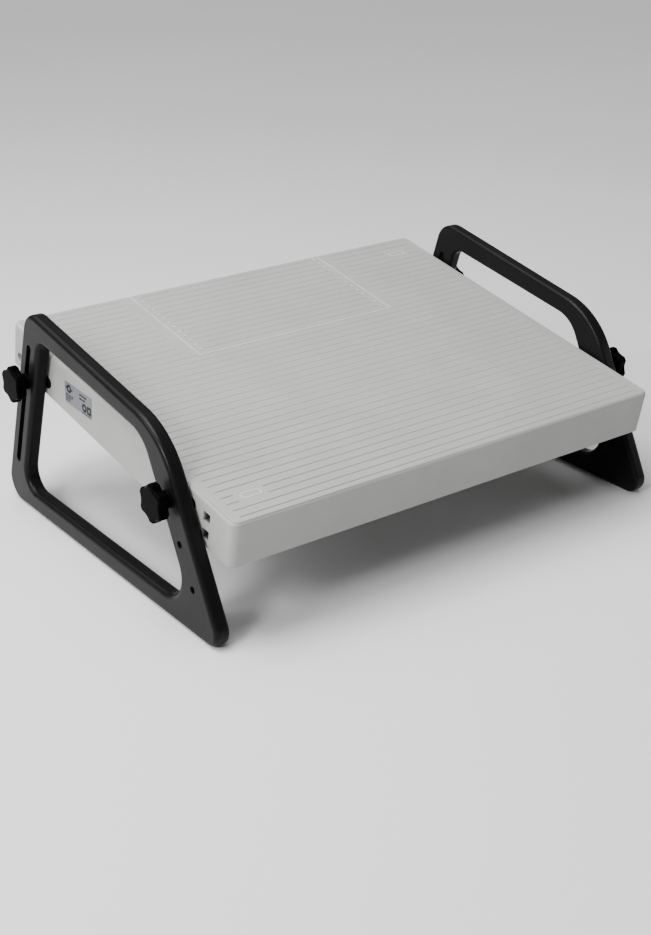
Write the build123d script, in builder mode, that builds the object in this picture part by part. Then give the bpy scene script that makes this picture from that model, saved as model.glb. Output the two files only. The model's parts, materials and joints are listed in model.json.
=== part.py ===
from build123d import *
from math import cos, radians, sin, tan
import os

# Adjustable foot and calf slant board: a ribbed board held between two moulded
# side frames. X runs across the board, -Y is the low front, +Y the raised back
# and the frames stand on Z = 0. All sizes are in millimetres.

# ---- driving dimensions ----------------------------------------------------
BOARD_WIDTH = 450.0
BOARD_DEPTH = 350.0
BOARD_HEIGHT = 40.0
BOARD_SKIN = 3.0
BOARD_CORNER_RADIUS = 7.0
BOARD_EDGE_RADIUS = 3.5
TILT = 9.5

GROOVE_PITCH = 8.8
GROOVE_COUNT = 39
GROOVE_WIDTH = 1.0
GROOVE_DEPTH = 0.28
GROOVE_MARGIN = 10.2

PANEL_HALF_WIDTH = 107.5
PANEL_OUTER_LINE = 113.5
PANEL_FIRST_GROOVE = 25
PANEL_RIDGE_WIDTH = 1.2
PANEL_RIDGE_HEIGHT = 0.35
PANEL_FINE_LINE_WIDTH = 0.7
PANEL_LINE_STEP = 6.0
PANEL_INNER_STOP = 6.5
PANEL_OUTER_STOP = 12.0
DOT_DIAMETER = 2.6
DOT_HEIGHT = 0.4
MARK_PLACE = (-216.0, 77.0)
MARK_RADII = (2.0, 1.5)
MARK_DEPTH = 0.2

PAD_GAP = 27.0
PAD_CENTRE_IN = 35.5
PAD_GROOVES = (2, 3)
PAD_RING = (19.0, 7.5)
PAD_RING_LINE = 1.2
PAD_RING_HEIGHT = 0.25

FRAME_THICKNESS = 13.5
FRAME_GAP = 1.2
LEG_FRONT = -4.5
UPRIGHT_BACK = 350.8
LEG_ANGLE = 62.0
UPRIGHT_LEAN = 17.0
TOP_BAR_ANGLE = 9.86
WINDOW_TOP_ANGLE = 8.96
BOTTOM_BAR_HEIGHT = 18.6
LEG_SPAN = 33.6
UPRIGHT_SPAN = 29.2
TOP_BAR_RISE = 143.2
WINDOW_TOP_RISE = 127.7
OUTLINE_RADII = [13.0, 20.0, 20.0, 74.0]
WINDOW_RADII = [24.0, 17.0, 12.0, 32.0]
OUTLINE_EDGE_RADIUS = 4.0
WINDOW_EDGE_RADIUS = 4.5
INNER_EDGE_RADIUS = 3.0

HOLE_HEIGHTS = (40.5, 72.6, 104.7)
HOLE_LINE_SETBACK = 19.1
SLOT_LOW = 40.8
SLOT_HIGH = 162.4
SLOT_WIDTH = 7.0

PIVOT_BACK = 69.0
PIVOT_DOWN = 13.5
REAR_BOLT_DOWN = 30.0
WALL_SLOT_DOWN = 29.5
WALL_SLOT_START = 288.5
WALL_SLOT_END = 339.6
WALL_SLOT_WIDTH = 8.0
WALL_SLOT_RIM = (2.4, 1.0)

RIB_THICKNESS = 2.5
RIB_HEIGHT = 9.0
RIB_X = (-150.0, -75.0, 0.0, 75.0, 150.0)
RIB_Y = (90.0, 175.0, 260.0)
BOSS_SIZE = 26.0
BOSS_DEPTH = 5.0
POCKET_SIZE = 9.0
POCKET_DEPTH = 11.0
POCKET_SKIN = 1.5
POCKET_BACK = 35.0
POCKET_DOWNS = (14.5, 30.0)

BOLT_DIAMETER = 6.0
BOLT_RUNNING_CLEARANCE = 0.1
BOLT_HEAD_DIAMETER = 14.0
BOLT_HEAD_HEIGHT = 3.5
BOLT_HEAD_CROWN = 2.5
BOLT_TIP_CHAMFER = 0.6
BOLT_LENGTH = 30.5
INNER_WASHER_DIAMETER = 20.0
INNER_WASHER_THICKNESS = 1.5
SPACER_LENGTH = 37.4
SPACER_HEIGHT = 10.0
SPACER_THICKNESS = 0.9
OUTER_WASHER_DIAMETER = 15.0
OUTER_WASHER_THICKNESS = 1.2
WASHER_CLEARANCE = 0.2
WASHER_EDGE_RADIUS = 0.3
SLIDING_GAP = 0.1
FACE_GAP = 0.05

KNOB_RADIUS = 16.3
KNOB_LOBES = 6
KNOB_SCALLOP_RADIUS = 12.0
KNOB_WAIST = 13.7
KNOB_HEAD_HEIGHT = 9.2
KNOB_LOBE_RADIUS = 2.6
KNOB_FRONT_RADIUS = 2.0
KNOB_BACK_CHAMFER = 1.6
KNOB_HUB_DIAMETER = 13.0
KNOB_HUB_HEIGHT = 4.8
KNOB_HUB_FLARE = 18.0
KNOB_PHASE = 27.0
INSERT_DIAMETER = 9.0
INSERT_LENGTH = 8.0
BORE_DEPTH = 10.5

LABEL_LENGTH = 45.0
LABEL_HEIGHT = 19.5
LABEL_THICKNESS = 0.3
LABEL_CORNER_RADIUS = 1.0
LABEL_SKEW = -7.0
LABEL_BACK = 231.6
LABEL_DOWN = 17.3

# ---- derived places --------------------------------------------------------
HALF_WIDTH = BOARD_WIDTH / 2
FRAME_INNER_X = HALF_WIDTH + FRAME_GAP
FRAME_OUTER_X = FRAME_INNER_X + FRAME_THICKNESS
# the origin lies on the floor below the middle of the whole object
MIDDLE_Y = 176.15
LEG_RUN = 1 / tan(radians(LEG_ANGLE))
UPRIGHT_RUN = tan(radians(UPRIGHT_LEAN))

LEG_FRONT_Y = LEG_FRONT - MIDDLE_Y
UPRIGHT_BACK_Y = UPRIGHT_BACK - MIDDLE_Y
HOLE_LINE_Y = LEG_FRONT_Y + HOLE_LINE_SETBACK
SLOT_LINE_Y = UPRIGHT_BACK_Y - UPRIGHT_SPAN / 2


def hole_y(height):
    """Y of the row of height holes in the front leg."""
    return HOLE_LINE_Y + height * LEG_RUN


def slot_y(height):
    """Y of the centre line of the tilt slot in the rear upright."""
    return SLOT_LINE_Y - height * UPRIGHT_RUN


def crossing(start, angle, other_start, other_angle):
    """Point where two lines in the YZ plane meet; angles are in degrees."""
    a, b = radians(angle), radians(other_angle)
    gap_y = other_start[0] - start[0]
    gap_z = other_start[1] - start[1]
    along = (gap_y * sin(b) - gap_z * cos(b)) / sin(b - a)
    return (start[0] + along * cos(a), start[1] + along * sin(a))


PIVOT_Z = HOLE_HEIGHTS[-1]
PIVOT_Y = hole_y(PIVOT_Z)

# the board's own plane: origin at the middle of its front top edge
tilt_cos, tilt_sin = cos(radians(TILT)), sin(radians(TILT))
BOARD_Y = PIVOT_Y - PIVOT_BACK * tilt_cos - PIVOT_DOWN * tilt_sin
BOARD_Z = PIVOT_Z - PIVOT_BACK * tilt_sin + PIVOT_DOWN * tilt_cos
board_plane = Plane(origin=(0, BOARD_Y, BOARD_Z), x_dir=(1, 0, 0), z_dir=(0, -tilt_sin, tilt_cos))

# the rear bolts sit where a line along the board's wall crosses the frame slot's line
rear_bolt_line = (BOARD_Y + REAR_BOLT_DOWN * tilt_sin, BOARD_Z - REAR_BOLT_DOWN * tilt_cos)
REAR_Y, REAR_Z = crossing(rear_bolt_line, TILT, (slot_y(0), 0), 90 + UPRIGHT_LEAN)


def side_plane(x):
    """Upright plane at x; its own axes are world Y and Z, its normal is +X."""
    return Plane.YZ.offset(x)


def board_side_plane(x):
    """Like side_plane, but turned with the board: along its depth, then up."""
    return Plane(origin=(x, BOARD_Y, BOARD_Z), x_dir=(0, tilt_cos, tilt_sin), z_dir=(1, 0, 0))


def groove_y(index):
    """Y of one groove in the board's plane; groove 0 is nearest the front."""
    first = (BOARD_DEPTH - (GROOVE_COUNT - 1) * GROOVE_PITCH) / 2
    return first + index * GROOVE_PITCH


GROOVE_END = HALF_WIDTH - GROOVE_MARGIN
PANEL_FRONT = groove_y(PANEL_FIRST_GROOVE)
PANEL_ROWS = range(PANEL_FIRST_GROOVE + 1, GROOVE_COUNT)
PAD_CENTRE_X = HALF_WIDTH - PAD_CENTRE_IN


def groove_spans(index):
    """X spans of one groove: whole, or broken by the panel and the two plain pads."""
    if index in PANEL_ROWS:
        outer = (PANEL_HALF_WIDTH + PANEL_OUTER_STOP, GROOVE_END)
        inner = PANEL_HALF_WIDTH - PANEL_INNER_STOP
        spans = [(-outer[1], -outer[0]), (-inner, inner), outer]
    else:
        spans = [(-GROOVE_END, GROOVE_END)]
    if index in PAD_GROOVES:
        low, high = spans[0]
        gap = (-PAD_CENTRE_X - PAD_GAP / 2, -PAD_CENTRE_X + PAD_GAP / 2)
        spans = [(low, gap[0]), (gap[1], high)] + spans[1:]
    if GROOVE_COUNT - 1 - index in PAD_GROOVES:
        low, high = spans[-1]
        gap = (PAD_CENTRE_X - PAD_GAP / 2, PAD_CENTRE_X + PAD_GAP / 2)
        spans = spans[:-1] + [(low, gap[0]), (gap[1], high)]
    return spans


def save(part, name):
    """Label one finished piece and write it under its node's name."""
    part.label = name
    export_step(part, f"parts/{name}.step")


os.makedirs("parts", exist_ok=True)

# ---- board -----------------------------------------------------------------
board_normal = Axis(board_plane.origin, board_plane.z_dir)
wall_slot_middle = (WALL_SLOT_START + WALL_SLOT_END) / 2
wall_slot_length = WALL_SLOT_END - WALL_SLOT_START
slot_rim_width, slot_rim_height = WALL_SLOT_RIM

with BuildPart(board_plane) as platform:
    with BuildSketch(board_plane.offset(-BOARD_HEIGHT)):
        with Locations((0, BOARD_DEPTH / 2)):
            RectangleRounded(BOARD_WIDTH, BOARD_DEPTH, BOARD_CORNER_RADIUS)
    extrude(amount=BOARD_HEIGHT)
    top_face = platform.faces().filter_by(board_normal).sort_by(board_normal)[-1]
    fillet(top_face.edges(), BOARD_EDGE_RADIUS)

    # hollow underside with stiffening ribs
    with BuildSketch(board_plane.offset(-BOARD_HEIGHT)):
        with Locations((0, BOARD_DEPTH / 2)):
            RectangleRounded(
                BOARD_WIDTH - 2 * BOARD_SKIN,
                BOARD_DEPTH - 2 * BOARD_SKIN,
                BOARD_CORNER_RADIUS - BOARD_SKIN,
            )
    extrude(amount=BOARD_HEIGHT - BOARD_SKIN, mode=Mode.SUBTRACT)
    with BuildSketch(board_plane.offset(-BOARD_SKIN - RIB_HEIGHT)):
        with Locations([(x, BOARD_DEPTH / 2) for x in RIB_X]):
            Rectangle(RIB_THICKNESS, BOARD_DEPTH - BOARD_SKIN)
        with Locations([(0, y) for y in RIB_Y]):
            Rectangle(BOARD_WIDTH - BOARD_SKIN, RIB_THICKNESS)
    extrude(amount=RIB_HEIGHT + BOARD_SKIN / 2)

    # grooves across the top, with dimples where they stop beside the panel
    with BuildSketch(board_plane):
        for row in range(GROOVE_COUNT):
            for low, high in groove_spans(row):
                with Locations(((low + high) / 2, groove_y(row))):
                    SlotOverall(high - low, GROOVE_WIDTH)
        for row in PANEL_ROWS:
            for side in (-1, 1):
                with Locations((side * (PANEL_HALF_WIDTH + PANEL_OUTER_STOP), groove_y(row))):
                    Circle(DOT_DIAMETER / 2)
    extrude(amount=-GROOVE_DEPTH, mode=Mode.SUBTRACT)

    # small moulding mark beside the groove ends
    with BuildSketch(board_plane):
        with Locations(MARK_PLACE):
            Circle(MARK_RADII[0])
            Circle(MARK_RADII[1], mode=Mode.SUBTRACT)
    extrude(amount=-MARK_DEPTH, mode=Mode.SUBTRACT)

    # rear panel: fine lines beside it and a raised border, open at the back edge
    with BuildSketch(board_plane):
        fine_front = PANEL_FRONT - PANEL_LINE_STEP
        with Locations([(x, (fine_front + BOARD_DEPTH) / 2) for x in (-PANEL_OUTER_LINE, PANEL_OUTER_LINE)]):
            Rectangle(PANEL_FINE_LINE_WIDTH, BOARD_DEPTH - fine_front)
    extrude(amount=-GROOVE_DEPTH, mode=Mode.SUBTRACT)
    with BuildSketch(board_plane.offset(-GROOVE_DEPTH)):
        ridge_back = BOARD_DEPTH - BOARD_EDGE_RADIUS
        with Locations([(x, (PANEL_FRONT + ridge_back) / 2) for x in (-PANEL_HALF_WIDTH, PANEL_HALF_WIDTH)]):
            Rectangle(PANEL_RIDGE_WIDTH, ridge_back - PANEL_FRONT)
        with Locations((0, PANEL_FRONT)):
            Rectangle(2 * PANEL_HALF_WIDTH + PANEL_RIDGE_WIDTH, PANEL_RIDGE_WIDTH)
    extrude(amount=GROOVE_DEPTH + PANEL_RIDGE_HEIGHT)

    # raised dots inside the panel and the two plain corner pads
    with BuildSketch(board_plane.offset(-GROOVE_DEPTH)):
        for row in PANEL_ROWS:
            for side in (-1, 1):
                with Locations((side * (PANEL_HALF_WIDTH - PANEL_INNER_STOP), groove_y(row))):
                    Circle(DOT_DIAMETER / 2)
    extrude(amount=GROOVE_DEPTH + DOT_HEIGHT)
    pad_y = (groove_y(PAD_GROOVES[0]) + groove_y(PAD_GROOVES[1])) / 2
    ring_length, ring_width = PAD_RING
    with BuildSketch(board_plane):
        for x, y in ((-PAD_CENTRE_X, pad_y), (PAD_CENTRE_X, BOARD_DEPTH - pad_y)):
            with Locations((x, y)):
                SlotOverall(ring_length, ring_width)
                SlotOverall(
                    ring_length - 2 * PAD_RING_LINE,
                    ring_width - 2 * PAD_RING_LINE,
                    mode=Mode.SUBTRACT,
                )
    extrude(amount=PAD_RING_HEIGHT)

    # both side walls: bolt boss and hole, elongated rear hole with its rim, blind pockets
    for side in (-1, 1):
        inner_face = board_side_plane(side * (HALF_WIDTH - BOARD_SKIN))
        with BuildSketch(inner_face):
            with Locations((PIVOT_BACK, -(BOSS_SIZE + BOARD_SKIN) / 2)):
                Rectangle(BOSS_SIZE, BOSS_SIZE)
        extrude(amount=-side * BOSS_DEPTH)
        with BuildSketch(inner_face):
            with Locations([(POCKET_BACK, -down) for down in POCKET_DOWNS]):
                Rectangle(POCKET_SIZE + 2 * POCKET_SKIN, POCKET_SIZE + 2 * POCKET_SKIN)
        extrude(amount=-side * (POCKET_DEPTH + POCKET_SKIN - BOARD_SKIN))
        with BuildSketch(inner_face):
            with Locations((wall_slot_middle, -WALL_SLOT_DOWN)):
                SlotOverall(
                    wall_slot_length + 2 * slot_rim_width,
                    WALL_SLOT_WIDTH + 2 * slot_rim_width,
                )
        extrude(amount=-side * slot_rim_height)
        with BuildSketch(board_side_plane(side * (HALF_WIDTH + 1))):
            with Locations((PIVOT_BACK, -PIVOT_DOWN)):
                Circle(BOLT_DIAMETER / 2 + BOLT_RUNNING_CLEARANCE)
            with Locations((wall_slot_middle, -WALL_SLOT_DOWN)):
                SlotOverall(wall_slot_length, WALL_SLOT_WIDTH)
        extrude(amount=-side * (BOARD_SKIN + BOSS_DEPTH + 2), mode=Mode.SUBTRACT)
        with BuildSketch(board_side_plane(side * HALF_WIDTH)):
            with Locations([(POCKET_BACK, -down) for down in POCKET_DOWNS]):
                Rectangle(POCKET_SIZE, POCKET_SIZE)
        extrude(amount=-side * POCKET_DEPTH, mode=Mode.SUBTRACT)
save(platform.part, "platform")

# ---- side frames -----------------------------------------------------------
OUTLINE = [
    (LEG_FRONT_Y, 0),
    (UPRIGHT_BACK_Y, 0),
    crossing((UPRIGHT_BACK_Y, 0), 90 + UPRIGHT_LEAN, (-MIDDLE_Y, TOP_BAR_RISE), TOP_BAR_ANGLE),
    crossing((LEG_FRONT_Y, 0), LEG_ANGLE, (-MIDDLE_Y, TOP_BAR_RISE), TOP_BAR_ANGLE),
]
leg_back = (LEG_FRONT_Y + LEG_SPAN, 0)
upright_front = (UPRIGHT_BACK_Y - UPRIGHT_SPAN, 0)
window_top = (-MIDDLE_Y, WINDOW_TOP_RISE)
WINDOW = [
    crossing(leg_back, LEG_ANGLE, (0, BOTTOM_BAR_HEIGHT), 0),
    crossing(upright_front, 90 + UPRIGHT_LEAN, (0, BOTTOM_BAR_HEIGHT), 0),
    crossing(upright_front, 90 + UPRIGHT_LEAN, window_top, WINDOW_TOP_ANGLE),
    crossing(leg_back, LEG_ANGLE, window_top, WINDOW_TOP_ANGLE),
]

for side, name in ((-1, "frame_left"), (1, "frame_right")):
    inner_plane = side_plane(side * FRAME_INNER_X)
    outer_plane = side_plane(side * (FRAME_OUTER_X + 1))
    with BuildPart() as side_frame:
        with BuildSketch(inner_plane):
            with BuildLine():
                FilletPolyline(*OUTLINE, radius=OUTLINE_RADII, close=True)
            make_face()
        extrude(amount=side * FRAME_THICKNESS)
        outer_rim = side_frame.faces().sort_by(Axis.X)[-1 if side > 0 else 0].edges()
        inner_rim = side_frame.faces().sort_by(Axis.X)[0 if side > 0 else -1].edges()
        fillet(outer_rim, OUTLINE_EDGE_RADIUS)
        fillet(inner_rim, INNER_EDGE_RADIUS)
        with BuildSketch(inner_plane):
            with BuildLine():
                FilletPolyline(*WINDOW, radius=WINDOW_RADII, close=True)
            make_face()
        extrude(amount=side * FRAME_THICKNESS, mode=Mode.SUBTRACT)
        outer_face = side_frame.faces().filter_by(Axis.X).sort_by(Axis.X)[-1 if side > 0 else 0]
        inner_face = side_frame.faces().filter_by(Axis.X).sort_by(Axis.X)[0 if side > 0 else -1]
        fillet(outer_face.inner_wires()[0].edges(), WINDOW_EDGE_RADIUS)
        fillet(inner_face.inner_wires()[0].edges(), INNER_EDGE_RADIUS)
        # three height holes in the leg and the tilt slot in the upright
        with BuildSketch(outer_plane):
            for height in HOLE_HEIGHTS:
                with Locations((hole_y(height), height)):
                    Circle(BOLT_DIAMETER / 2 + BOLT_RUNNING_CLEARANCE)
            middle = (SLOT_LOW + SLOT_HIGH) / 2
            slot_length = (SLOT_HIGH - SLOT_LOW) / cos(radians(UPRIGHT_LEAN))
            with Locations((slot_y(middle), middle)):
                SlotOverall(slot_length, SLOT_WIDTH, rotation=90 + UPRIGHT_LEAN)
        extrude(amount=-side * (FRAME_THICKNESS + 2), mode=Mode.SUBTRACT)
    save(side_frame.part, name)

# ---- clamp sets: one at each of the four fixing points ---------------------
# Each set is a cup-head bolt from inside the board, a washer under its head, a
# spacer between board and frame, a washer outside the frame and a lobed knob
# with a threaded brass insert. Threads are plain cylinders.
BOLT_HEAD_X = HALF_WIDTH - BOARD_SKIN - INNER_WASHER_THICKNESS
OUTER_WASHER_X = FRAME_OUTER_X + FACE_GAP
KNOB_X = OUTER_WASHER_X + OUTER_WASHER_THICKNESS + FACE_GAP
KNOB_HEAD_X = KNOB_X + KNOB_HUB_HEIGHT
INSERT_BORE_RADIUS = BOLT_DIAMETER / 2 + FACE_GAP

clamp_points = {
    "front_left": (-1, PIVOT_Y, PIVOT_Z, BOSS_DEPTH, 0.0, TILT),
    "front_right": (1, PIVOT_Y, PIVOT_Z, BOSS_DEPTH, 0.0, TILT),
    "rear_left": (-1, REAR_Y, REAR_Z, slot_rim_height, SLIDING_GAP, 0.0),
    "rear_right": (1, REAR_Y, REAR_Z, slot_rim_height, SLIDING_GAP, 0.0),
}

for place, (side, y, z, backing, gap, spacer_turn) in clamp_points.items():
    # distances below are measured outwards from the middle of the object
    inner_washer_x = BOLT_HEAD_X - backing - gap

    with BuildPart() as bolt:
        with BuildSketch(side_plane(side * inner_washer_x)):
            with Locations((y, z)):
                Circle(BOLT_DIAMETER / 2)
        extrude(amount=side * (BOLT_LENGTH + backing))
        with BuildSketch(side_plane(side * inner_washer_x)):
            with Locations((y, z)):
                Circle(BOLT_HEAD_DIAMETER / 2)
        extrude(amount=-side * BOLT_HEAD_HEIGHT)
        head_rim = bolt.edges().filter_by(GeomType.CIRCLE).sort_by(Axis.X)[0 if side > 0 else -1]
        fillet(head_rim, BOLT_HEAD_CROWN)
        shank_rim = bolt.edges().filter_by(GeomType.CIRCLE).sort_by(Axis.X)[-1 if side > 0 else 0]
        chamfer(shank_rim, BOLT_TIP_CHAMFER)
    save(bolt.part, f"bolt_{place}")

    for kind, start, thickness, radius in (
        ("inner_washer", inner_washer_x, INNER_WASHER_THICKNESS, INNER_WASHER_DIAMETER / 2),
        ("outer_washer", OUTER_WASHER_X, OUTER_WASHER_THICKNESS, OUTER_WASHER_DIAMETER / 2),
    ):
        with BuildPart() as washer:
            with BuildSketch(side_plane(side * start)):
                with Locations((y, z)):
                    Circle(radius)
                    Circle(BOLT_DIAMETER / 2 + WASHER_CLEARANCE, mode=Mode.SUBTRACT)
            extrude(amount=side * thickness)
            rims = washer.edges().filter_by(GeomType.CIRCLE).group_by(SortBy.RADIUS)[-1]
            fillet(rims, WASHER_EDGE_RADIUS)
        save(washer.part, f"{kind}_{place}")

    with BuildPart() as spacer:
        with BuildSketch(side_plane(side * (HALF_WIDTH + gap))):
            with Locations((y, z)):
                SlotOverall(SPACER_LENGTH, SPACER_HEIGHT, rotation=spacer_turn)
                Circle(BOLT_DIAMETER / 2 + WASHER_CLEARANCE, mode=Mode.SUBTRACT)
        extrude(amount=side * SPACER_THICKNESS)
    save(spacer.part, f"spacer_{place}")

    with BuildPart() as insert:
        with BuildSketch(side_plane(side * KNOB_X)):
            with Locations((y, z)):
                Circle(INSERT_DIAMETER / 2)
                Circle(INSERT_BORE_RADIUS, mode=Mode.SUBTRACT)
        extrude(amount=side * INSERT_LENGTH)
    save(insert.part, f"knob_insert_{place}")

    with BuildPart() as knob:
        with BuildSketch(side_plane(side * KNOB_HEAD_X)):
            with Locations((y, z)):
                Circle(KNOB_RADIUS)
                with PolarLocations(
                    KNOB_WAIST + KNOB_SCALLOP_RADIUS, KNOB_LOBES, start_angle=KNOB_PHASE + 30
                ):
                    Circle(KNOB_SCALLOP_RADIUS, mode=Mode.SUBTRACT)
            fillet(vertices(), KNOB_LOBE_RADIUS)
        extrude(amount=side * KNOB_HEAD_HEIGHT)
        ends = knob.faces().filter_by(Axis.X).sort_by(Axis.X)
        front, back = (ends[-1], ends[0]) if side > 0 else (ends[0], ends[-1])
        fillet(front.edges(), KNOB_FRONT_RADIUS)
        chamfer(back.edges(), KNOB_BACK_CHAMFER)
        with BuildSketch(side_plane(side * KNOB_X)):
            with Locations((y, z)):
                Circle(KNOB_HUB_DIAMETER / 2)
        extrude(amount=side * (KNOB_HUB_HEIGHT + 1), taper=-KNOB_HUB_FLARE)
        with BuildSketch(side_plane(side * KNOB_X)):
            with Locations((y, z)):
                Circle(INSERT_DIAMETER / 2)
        extrude(amount=side * INSERT_LENGTH, mode=Mode.SUBTRACT)
        with BuildSketch(side_plane(side * KNOB_X)):
            with Locations((y, z)):
                Circle(INSERT_BORE_RADIUS)
        extrude(amount=side * BORE_DEPTH, mode=Mode.SUBTRACT)
    save(knob.part, f"knob_{place}")

# ---- rating label on the left wall -----------------------------------------
with BuildPart() as rating_label:
    with BuildSketch(board_side_plane(-HALF_WIDTH)):
        with Locations((LABEL_BACK, -LABEL_DOWN)):
            RectangleRounded(LABEL_LENGTH, LABEL_HEIGHT, LABEL_CORNER_RADIUS, rotation=LABEL_SKEW)
    extrude(amount=-LABEL_THICKNESS)
save(rating_label.part, "rating_label")
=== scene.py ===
import json
import math

import bmesh
import bpy
from mathutils import Matrix, Vector


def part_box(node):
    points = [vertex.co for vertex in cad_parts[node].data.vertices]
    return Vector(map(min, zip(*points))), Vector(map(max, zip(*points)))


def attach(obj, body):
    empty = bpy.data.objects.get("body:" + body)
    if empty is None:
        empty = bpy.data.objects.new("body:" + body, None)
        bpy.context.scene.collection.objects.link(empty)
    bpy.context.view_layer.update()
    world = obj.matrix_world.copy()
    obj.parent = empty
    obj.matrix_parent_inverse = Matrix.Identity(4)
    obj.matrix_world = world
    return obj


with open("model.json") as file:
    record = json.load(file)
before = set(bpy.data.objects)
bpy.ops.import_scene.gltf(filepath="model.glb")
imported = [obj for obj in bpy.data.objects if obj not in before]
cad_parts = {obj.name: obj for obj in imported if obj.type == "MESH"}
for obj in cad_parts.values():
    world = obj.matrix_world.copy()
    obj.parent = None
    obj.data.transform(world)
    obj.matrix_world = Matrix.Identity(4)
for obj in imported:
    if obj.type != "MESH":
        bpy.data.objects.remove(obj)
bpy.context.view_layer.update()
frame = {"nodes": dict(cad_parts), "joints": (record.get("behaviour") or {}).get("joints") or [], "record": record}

# Looks for the slant board: a light grey ribbed board between two black side frames.
# Lengths are in metres unless a name ends in _mm.
MM = 0.001

# ---- the board's own axes, taken from its pivot ------------------------------
TILT = math.radians(9.5)
PIVOT_BACK, PIVOT_DOWN = 69.0 * MM, 13.5 * MM
HALF_WIDTH = 225.0 * MM
joints = {joint["name"]: joint for joint in frame["joints"]}
pivot = Vector(joints["board_tilt"]["pos_m"])
along = Vector((0, math.cos(TILT), math.sin(TILT)))
normal = Vector((0, -math.sin(TILT), math.cos(TILT)))
board_front = pivot - along * PIVOT_BACK + normal * PIVOT_DOWN


def on_board(x, back, up):
    """Point given across the board, back from its front edge and up from its top face."""
    return Vector((x, 0, 0)) + board_front + along * back + normal * up


# ---- node material helpers ---------------------------------------------------
class Shader:
    """A Principled material whose inputs are driven by nodes in object space."""

    def __init__(self, name):
        self.material = bpy.data.materials.new(name)
        self.material.use_nodes = True
        self.tree = self.material.node_tree
        self.surface = self.tree.nodes["Principled BSDF"]
        self.coordinates = self.tree.nodes.new("ShaderNodeTexCoord").outputs["Object"]

    def link(self, source, target):
        self.tree.links.new(source, target)

    def stretched(self, scale):
        """Object space drawn out unevenly, for streaks."""
        mapping = self.tree.nodes.new("ShaderNodeMapping")
        mapping.inputs["Scale"].default_value = scale
        self.link(self.coordinates, mapping.inputs["Vector"])
        return mapping.outputs["Vector"]

    def noise(self, size, detail=2.0, vector=None, roughness=0.5):
        """Noise whose features are about size metres across."""
        node = self.tree.nodes.new("ShaderNodeTexNoise")
        node.inputs["Scale"].default_value = 1 / size
        node.inputs["Detail"].default_value = detail
        node.inputs["Roughness"].default_value = roughness
        self.link(vector or self.coordinates, node.inputs["Vector"])
        return node.outputs["Fac"]

    def ramp(self, value, low, high, start=0.3, end=0.7):
        """Colours from low to high as value goes from start to end."""
        node = self.tree.nodes.new("ShaderNodeValToRGB")
        first, last = node.color_ramp.elements
        first.position, last.position = start, end
        first.color, last.color = (*low, 1), (*high, 1)
        self.link(value, node.inputs["Fac"])
        return node.outputs["Color"]

    def span(self, value, low, high, start=0.3, end=0.7):
        """Numbers from low to high as value goes from start to end."""
        node = self.tree.nodes.new("ShaderNodeMapRange")
        node.inputs["From Min"].default_value = start
        node.inputs["From Max"].default_value = end
        node.inputs["To Min"].default_value = low
        node.inputs["To Max"].default_value = high
        self.link(value, node.inputs["Value"])
        return node.outputs["Result"]

    def distance(self, direction, start):
        """How far a surface point lies from start along direction, at rest."""
        node = self.tree.nodes.new("ShaderNodeVectorMath")
        node.operation = "DOT_PRODUCT"
        node.inputs[1].default_value = direction
        self.link(self.coordinates, node.inputs[0])
        offset = self.tree.nodes.new("ShaderNodeMath")
        offset.operation = "SUBTRACT"
        offset.inputs[1].default_value = direction.dot(start)
        self.link(node.outputs["Value"], offset.inputs[0])
        return offset.outputs["Value"]

    def both(self, first, second):
        """Product of two numbers, used where two masks overlap."""
        node = self.tree.nodes.new("ShaderNodeMath")
        node.operation = "MULTIPLY"
        self.link(first, node.inputs[0])
        self.link(second, node.inputs[1])
        return node.outputs["Value"]

    def blended(self, factor, first, second):
        """Colour that goes from first to second as factor goes from 0 to 1."""
        node = self.tree.nodes.new("ShaderNodeMix")
        node.data_type = "RGBA"
        self.link(factor, node.inputs["Factor"])
        self.link(first, node.inputs["A"])
        self.link(second, node.inputs["B"])
        return node.outputs["Result"]

    def rising(self, value, band_mm):
        """Mask that goes from 0 to 1 across a band of distances in millimetres."""
        return self.span(value, 0.0, 1.0, band_mm[0] * MM, band_mm[1] * MM)

    def falling(self, value, band_mm):
        """Mask that goes from 1 to 0 across a band of distances in millimetres."""
        return self.span(value, 1.0, 0.0, band_mm[0] * MM, band_mm[1] * MM)

    def bump(self, height, distance, strength, below=None):
        node = self.tree.nodes.new("ShaderNodeBump")
        node.inputs["Distance"].default_value = distance
        node.inputs["Strength"].default_value = strength
        self.link(height, node.inputs["Height"])
        if below is not None:
            self.link(below, node.inputs["Normal"])
        return node.outputs["Normal"]

    def finish(self, colour, roughness, bump):
        self.link(colour, self.surface.inputs["Base Color"])
        self.link(roughness, self.surface.inputs["Roughness"])
        self.link(bump, self.surface.inputs["Normal"])
        return self.material


SPECKLE_GRAINS = 4           # a speckle is this many grains across
SINK_PER_WEAR = 2.5          # height in mm of the flow unevenness for each unit of wear
SMUDGE_MM = 18


def moulded_parts(name, dark, light, matt, grain_mm, grain_height_mm,
                  flow_mm=60.0, specular=0.5, wear=0.06):
    """Injection moulded plastic: cloudy colour, eroded grain and faint flow unevenness.

    Gives the open shader with its colour, roughness and bump, for more to be laid on them.
    """
    shader = Shader(name)
    clouds = shader.noise(flow_mm * MM, detail=3)
    speckle = shader.noise(SPECKLE_GRAINS * grain_mm * MM, detail=4)
    base = shader.ramp(clouds, dark, light)
    spot = shader.ramp(speckle, dark, light, 0.35, 0.65)
    grain = shader.noise(grain_mm * MM, detail=2, roughness=0.6)
    sink = shader.bump(clouds, SINK_PER_WEAR * wear * MM, 0.3)
    smudge = shader.noise(SMUDGE_MM * MM, detail=5)
    shader.surface.inputs["Specular IOR Level"].default_value = specular
    return (
        shader,
        shader.blended(shader.span(speckle, 0.0, 0.6, 0.4, 0.8), base, spot),
        shader.span(smudge, matt - wear, matt + wear),
        shader.bump(grain, grain_height_mm * MM, 0.6, below=sink),
    )


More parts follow.
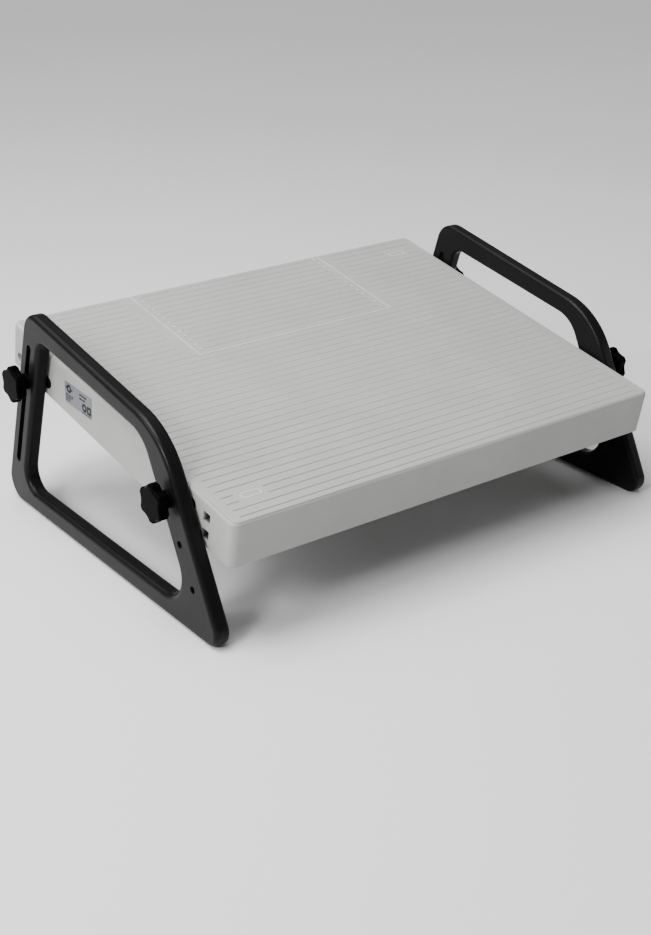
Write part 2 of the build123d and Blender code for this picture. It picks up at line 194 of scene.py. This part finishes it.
def moulded(*args, **settings):
    shader, colour, roughness, bump = moulded_parts(*args, **settings)
    return shader.finish(colour, roughness, bump)


# Bands over which the board's masks fade in or out, in millimetres: heights from the top
# face, distances back from the front edge, and depths in from a side wall.
RAISED_HEIGHTS = (0.10, 0.22)
GROOVE_TOP_HEIGHTS = (-0.24, -0.12)
BELOW_GROOVE_HEIGHTS = (-0.9, -0.6)
POCKET_FRONT = (27, 29)
POCKET_BACK = (42, 44)
POCKET_MOUTH = (1.0, 3.0)
POCKET_TOP_HEIGHTS = (-8, -5)
# Painted shade in the grooves gives way to painted light over this distance in metres from the front left corner.
GROOVE_SHADE_REACH = (0.04, 0.21)
GROOVE_SHADE_SIDEWAYS = 0.4


def board_plastic(name, node):
    """Grey moulded board with painted light: a painted highlight on the raised lines, painted shade and light in
    the grooves, and painted shade in the pockets.
    """
    shader, colour, roughness, bump = moulded_parts(
        name, (0.285, 0.284, 0.279), (0.315, 0.314, 0.308),
        matt=0.52, grain_mm=0.45, grain_height_mm=0.05,
    )
    to_local = node.matrix_world.inverted()
    turn = to_local.to_3x3()
    across = Vector((1, 0, 0))
    front_middle = to_local @ board_front
    front_left = to_local @ (board_front - across * HALF_WIDTH)
    height = shader.distance(turn @ normal, front_middle)
    back = shader.distance(turn @ along, front_middle)
    from_left = shader.distance(turn @ across, to_local @ (-across * HALF_WIDTH))
    uneven = shader.noise(7 * MM, detail=3)

    raised = shader.both(shader.rising(height, RAISED_HEIGHTS), shader.span(uneven, 0.7, 1.0))
    groove = shader.both(
        shader.falling(height, GROOVE_TOP_HEIGHTS), shader.rising(height, BELOW_GROOVE_HEIGHTS)
    )
    between = shader.both(shader.rising(back, POCKET_FRONT), shader.falling(back, POCKET_BACK))
    inside = shader.both(shader.rising(from_left, POCKET_MOUTH), between)
    pocket = shader.both(inside, shader.falling(height, POCKET_TOP_HEIGHTS))

    # painted shade and light in the grooves: dark at the front and left, paler than the board at the back and
    # right
    from_corner = shader.distance(turn @ (along + across * GROOVE_SHADE_SIDEWAYS), front_left)
    painted_groove_shade = shader.ramp(from_corner, (0.18, 0.178, 0.17), (0.36, 0.358, 0.35), *GROOVE_SHADE_REACH)
    # painted highlight: the raised lines are coloured pale to stand in for light catching their edges
    painted_ridge_highlight = shader.ramp(uneven, (0.46, 0.46, 0.455), (0.54, 0.54, 0.535))
    # painted shade: the pockets are coloured near black to stand in for the shade inside them
    painted_pocket_shade = shader.ramp(uneven, (0.05, 0.05, 0.049), (0.07, 0.07, 0.068))
    colour = shader.blended(groove, colour, painted_groove_shade)
    colour = shader.blended(raised, colour, painted_ridge_highlight)
    colour = shader.blended(pocket, colour, painted_pocket_shade)
    return shader.finish(colour, roughness, bump)


def metal(name, dark, light, polish, streak):
    """Plated or turned metal with fine streaks along one axis."""
    shader = Shader(name)
    lines = shader.noise(1.0 * MM, detail=4, vector=shader.stretched(streak))
    stain = shader.noise(5 * MM, detail=4)
    shader.surface.inputs["Metallic"].default_value = 1.0
    return shader.finish(
        shader.ramp(stain, dark, light),
        shader.span(lines, polish - 0.08, polish + 0.1),
        shader.bump(lines, 0.02 * MM, 0.5),
    )


def film(name):
    """Printed label film: pale blue grey with a slight mottle and a satin laminate."""
    shader = Shader(name)
    mottle = shader.noise(3 * MM, detail=5)
    return shader.finish(
        shader.ramp(mottle, (0.105, 0.112, 0.124), (0.128, 0.136, 0.15)),
        shader.span(mottle, 0.32, 0.45),
        shader.bump(shader.noise(1.2 * MM), 0.01 * MM, 0.4),
    )


def ink(name):
    """Dark print with uneven coverage."""
    shader = Shader(name)
    cover = shader.noise(0.5 * MM, detail=4)
    shader.surface.inputs["Specular IOR Level"].default_value = 0.1
    return shader.finish(
        shader.ramp(cover, (0.004, 0.0042, 0.005), (0.012, 0.0125, 0.015)),
        shader.span(cover, 0.4, 0.6),
        shader.bump(cover, 0.01 * MM, 0.3),
    )


finishes = {
    "board_grey": board_plastic("board_grey", frame["nodes"]["platform"]),
    "frame_black": moulded(
        "frame_black", (0.004, 0.0036, 0.0037), (0.006, 0.0053, 0.0053),
        matt=0.30, grain_mm=0.5, grain_height_mm=0.010, specular=0.10, wear=0.03,
    ),
    "knob_black": moulded(
        "knob_black", (0.0008, 0.0008, 0.0009), (0.0014, 0.0013, 0.0013),
        matt=0.30, grain_mm=0.4, grain_height_mm=0.02, flow_mm=12.0, specular=0.012,
    ),
    "spacer_black": moulded(
        "spacer_black", (0.002, 0.002, 0.002), (0.004, 0.004, 0.004),
        matt=0.5, grain_mm=0.3, grain_height_mm=0.02, flow_mm=12.0, specular=0.05,
    ),
    "washer_black": moulded(
        "washer_black", (0.002, 0.002, 0.002), (0.004, 0.004, 0.004),
        matt=0.45, grain_mm=0.3, grain_height_mm=0.02, flow_mm=8.0, specular=0.05,
    ),
    "bolt_steel": metal(
        "bolt_steel", (0.50, 0.51, 0.52), (0.62, 0.63, 0.64), polish=0.32, streak=(0.1, 1, 1)
    ),
    "washer_steel": metal(
        "washer_steel", (0.54, 0.54, 0.55), (0.66, 0.66, 0.67), polish=0.35, streak=(1, 1, 1)
    ),
    "insert_brass": metal(
        "insert_brass", (0.62, 0.44, 0.18), (0.76, 0.57, 0.27), polish=0.28, streak=(0.1, 1, 1)
    ),
    "label_print": film("label_film"),
}
for subpart in frame["record"]["subparts"]:
    node = frame["nodes"][subpart["node"]]
    for slot in node.material_slots:
        slot.material = finishes[subpart["material_slot"]]

# ---- print on the rating label: plain bars, frames and rings, no lettering ----
LABEL_BACK, LABEL_DOWN, LABEL_SKEW = 231.6 * MM, 17.3 * MM, math.radians(-7.0)
INK_DEPTH = 0.04 * MM
RING_STEPS = 20
label_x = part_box("rating_label")[0][0]
label_axis = along * math.cos(LABEL_SKEW) + normal * math.sin(LABEL_SKEW)
label_up = normal * math.cos(LABEL_SKEW) - along * math.sin(LABEL_SKEW)
label_centre = on_board(0, LABEL_BACK, -LABEL_DOWN)


def on_label(right_mm, up_mm, proud):
    """Point on the label as it is read: right is towards the board's front."""
    point = label_centre - label_axis * right_mm * MM + label_up * up_mm * MM
    return Vector((label_x - proud, point.y, point.z))


def add_tile(mesh, outline):
    """A thin prism of ink over an outline given in label millimetres."""
    bottom = [mesh.verts.new(on_label(x, y, 0.0)) for x, y in outline]
    top = [mesh.verts.new(on_label(x, y, INK_DEPTH)) for x, y in outline]
    mesh.faces.new(top)
    mesh.faces.new(list(reversed(bottom)))
    for i in range(len(outline)):
        j = (i + 1) % len(outline)
        mesh.faces.new((bottom[i], bottom[j], top[j], top[i]))


def bar(mesh, x, y, width, height):
    """A bar given by its lower left corner, in label millimetres."""
    add_tile(mesh, [(x, y), (x + width, y), (x + width, y + height), (x, y + height)])


def ring(mesh, x, y, radius, width):
    inner = radius - width
    for i in range(RING_STEPS):
        a, b = (2 * math.pi * k / RING_STEPS for k in (i, i + 1))
        add_tile(mesh, [
            (x + inner * math.cos(a), y + inner * math.sin(a)),
            (x + radius * math.cos(a), y + radius * math.sin(a)),
            (x + radius * math.cos(b), y + radius * math.sin(b)),
            (x + inner * math.cos(b), y + inner * math.sin(b)),
        ])


def label_print():
    mesh = bmesh.new()
    # a plain round mark, upper left
    ring(mesh, -15.4, 4.4, 3.8, 2.2)
    bar(mesh, -21.4, 3.7, 2.6, 1.4)
    bar(mesh, -12.0, 3.7, 2.6, 1.4)
    # four rows of small bars below it
    for row, widths in enumerate(((4.6, 2.8, 4.4), (3.0, 5.0, 2.6), (5.4, 2.4), (3.4, 3.0))):
        x = -21.0
        for width in widths:
            bar(mesh, x, -1.9 - 1.8 * row, width, 1.0)
            x += width + 0.5
    # two heavier rows, upper right
    for y, widths in ((5.4, (2.6, 2.6, 1.6, 3.4)), (2.0, (3.4, 1.6, 3.4))):
        x = 2.4
        for width in widths:
            bar(mesh, x, y, width, 1.7)
            x += width + 0.45
    # a thick ring and a square frame, lower right, over one long bar
    ring(mesh, 10.4, -3.4, 3.9, 2.3)
    for x, y, width, height in (
        (14.9, -7.0, 6.6, 2.1), (14.9, -1.8, 6.6, 2.1),
        (14.9, -4.9, 2.2, 3.1), (19.3, -4.9, 2.2, 3.1),
    ):
        bar(mesh, x, y, width, height)
    bar(mesh, 7.0, -8.9, 13.6, 0.9)
    data = bpy.data.meshes.new("label_marks")
    mesh.normal_update()
    bmesh.ops.recalc_face_normals(mesh, faces=mesh.faces)
    mesh.to_mesh(data)
    mesh.free()
    piece = bpy.data.objects.new("label_marks", data)
    bpy.context.collection.objects.link(piece)
    data.materials.append(ink("label_ink"))
    return piece


marks = label_print()
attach(marks, "board")

# ---- floor, light and camera --------------------------------------------------
FLOOR_RADIUS = 14.0
FLOOR_DROP = 0.3 * MM        # keeps the floor clear of the frames' undersides
LIGHT_TARGET = Vector((0, 0, 0.1))
WORLD_STRENGTH = 0.20
SOFTBOXES = (                # name, position, side in metres, power in watts
    ("key", (-1.9, 0.6, 1.3), 0.8, 18),
    ("glint", (-1.9, -0.6, 1.35), 0.6, 40),
    ("overhead", (-0.45, 0.1, 1.4), 0.8, 26),
    ("right_front", (1.5, -0.9, 0.45), 0.4, 2.0),
)
SKY_POSITION, SKY_STRENGTH, SKY_SPREAD = (-0.5, 1.0, 3.0), 2.2, math.radians(70)


def studio_floor():
    shader = Shader("floor_paper")
    tone = shader.noise(0.8, detail=2)
    paper = shader.finish(
        shader.ramp(tone, (0.64, 0.64, 0.64), (0.66, 0.66, 0.66)),
        shader.span(tone, 0.75, 0.85),
        shader.bump(shader.noise(6 * MM), 0.02 * MM, 0.3),
    )
    bpy.ops.mesh.primitive_circle_add(vertices=96, radius=FLOOR_RADIUS, fill_type="NGON")
    floor = bpy.context.object
    floor.name = "floor"
    floor.location.z = -FLOOR_DROP
    floor.data.materials.append(paper)


def hang(name, lamp, position):
    """Places a lamp so that it shines at the object."""
    holder = bpy.data.objects.new(name, lamp)
    bpy.context.collection.objects.link(holder)
    holder.location = position
    aim = LIGHT_TARGET - Vector(position)
    holder.rotation_euler = aim.to_track_quat("-Z", "Y").to_euler()


def softbox(name, position, side, power):
    lamp = bpy.data.lights.new(name, "AREA")
    lamp.shape = "RECTANGLE"
    lamp.size = lamp.size_y = side
    lamp.energy = power
    hang(name, lamp, position)


def open_sky(name):
    """A very soft distant light, so that the floor stays pale out to its edge."""
    lamp = bpy.data.lights.new(name, "SUN")
    lamp.energy = SKY_STRENGTH
    lamp.angle = SKY_SPREAD
    hang(name, lamp, SKY_POSITION)


def studio_light():
    world = bpy.context.scene.world or bpy.data.worlds.new("studio")
    bpy.context.scene.world = world
    world.use_nodes = True
    background = world.node_tree.nodes["Background"]
    background.inputs["Color"].default_value = (1, 1, 1, 1)
    background.inputs["Strength"].default_value = WORLD_STRENGTH
    for name, position, side, power in SOFTBOXES:
        softbox(name, position, side, power)
    open_sky("ceiling")


CAMERA_TARGET = on_board(-115.72 * MM, 32.98 * MM, 0)
CAMERA_AZIMUTH = math.radians(37.685)
CAMERA_ELEVATION = math.radians(25.305)
CAMERA_ROLL = math.radians(0.987)
CAMERA_DISTANCE = 1.22317
CAMERA_LENS_MM = 59.665


def photo_camera():
    forward = Vector((
        math.sin(CAMERA_AZIMUTH) * math.cos(CAMERA_ELEVATION),
        math.cos(CAMERA_AZIMUTH) * math.cos(CAMERA_ELEVATION),
        -math.sin(CAMERA_ELEVATION),
    ))
    level = forward.cross(Vector((0, 0, 1))).normalized()
    upright = level.cross(forward)
    right = level * math.cos(CAMERA_ROLL) + upright * math.sin(CAMERA_ROLL)
    up = right.cross(forward)
    lens = bpy.data.cameras.new("camera")
    lens.lens = CAMERA_LENS_MM
    lens.clip_start, lens.clip_end = 0.05, 60
    camera = bpy.data.objects.new("camera", lens)
    bpy.context.collection.objects.link(camera)
    turn = Matrix((right, up, -forward)).transposed().to_4x4()
    camera.matrix_world = Matrix.Translation(CAMERA_TARGET - forward * CAMERA_DISTANCE) @ turn
    bpy.context.scene.camera = camera


studio_floor()
studio_light()
photo_camera()
